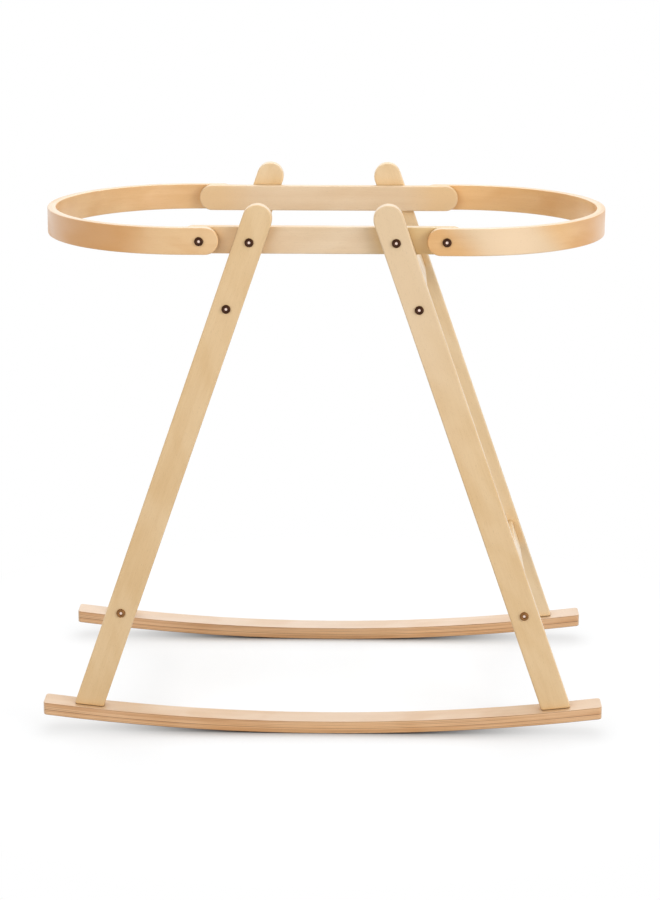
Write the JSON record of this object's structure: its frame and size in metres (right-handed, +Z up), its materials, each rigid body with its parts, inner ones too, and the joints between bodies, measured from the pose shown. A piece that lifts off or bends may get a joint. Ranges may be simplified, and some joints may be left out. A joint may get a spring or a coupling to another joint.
{
  "type": "moses basket stand",
  "caption": "Rocking wooden stand for an oval baby basket: splayed legs on curved runners, cross bars, and a ring of straight rails and bent hoops that fold on their bolts.",
  "frame": {"origin": "on the floor, below the middle of the ring", "axes": "+X along the ring to the right seen from the front, +Y from the front to the back, +Z up"},
  "size_m": [0.789, 0.4454, 0.7447],
  "materials": {
    "rail_wood": "clear satin lacquer on pale birch",
    "hoop_wood": "clear satin lacquer on bent laminated birch",
    "leg_wood": "clear satin lacquer on pale birch",
    "runner_wood": "clear satin lacquer on laminated birch, plies showing on the sides",
    "stretcher_wood": "clear satin lacquer on pale birch",
    "bolt_bronze": "dark bronze plating",
    "insert_zinc": "yellow zinc plating",
    "pin_wood": "bare beech",
    "screw_zinc": "zinc plating"
  },
  "bodies": {
    "frame": {"front_rail": "rail_wood", "rear_rail": "rail_wood", "front_left_leg": "leg_wood", "front_right_leg": "leg_wood", "rear_left_leg": "leg_wood", "rear_right_leg": "leg_wood", "front_runner": "runner_wood", "rear_runner": "runner_wood", "upper_left_stretcher": "stretcher_wood", "upper_right_stretcher": "stretcher_wood", "lower_left_stretcher": "stretcher_wood", "lower_right_stretcher": "stretcher_wood", "hoop_pivot_bolts": "bolt_bronze", "leg_top_bolts": "bolt_bronze", "stretcher_bolts": "bolt_bronze", "rail_inserts": "insert_zinc", "stretcher_inserts": "insert_zinc", "stretcher_pins": "pin_wood", "foot_pins": "pin_wood", "foot_screws": "screw_zinc"},
    "left_hoop": {"left_hoop": "hoop_wood"},
    "right_hoop": {"right_hoop": "hoop_wood"}
  },
  "joints": [
    {"name": "left_hoop_fold", "type": "hinge", "parent": "frame", "child": "left_hoop", "pos_m": [-0.1663, 0, 0.694], "axis": [0, 1, 0], "range_deg": [-80, 120]},
    {"name": "right_hoop_fold", "type": "hinge", "parent": "frame", "child": "right_hoop", "pos_m": [0.1663, 0, 0.694], "axis": [0, -1, 0], "range_deg": [-80, 120]}
  ]
}
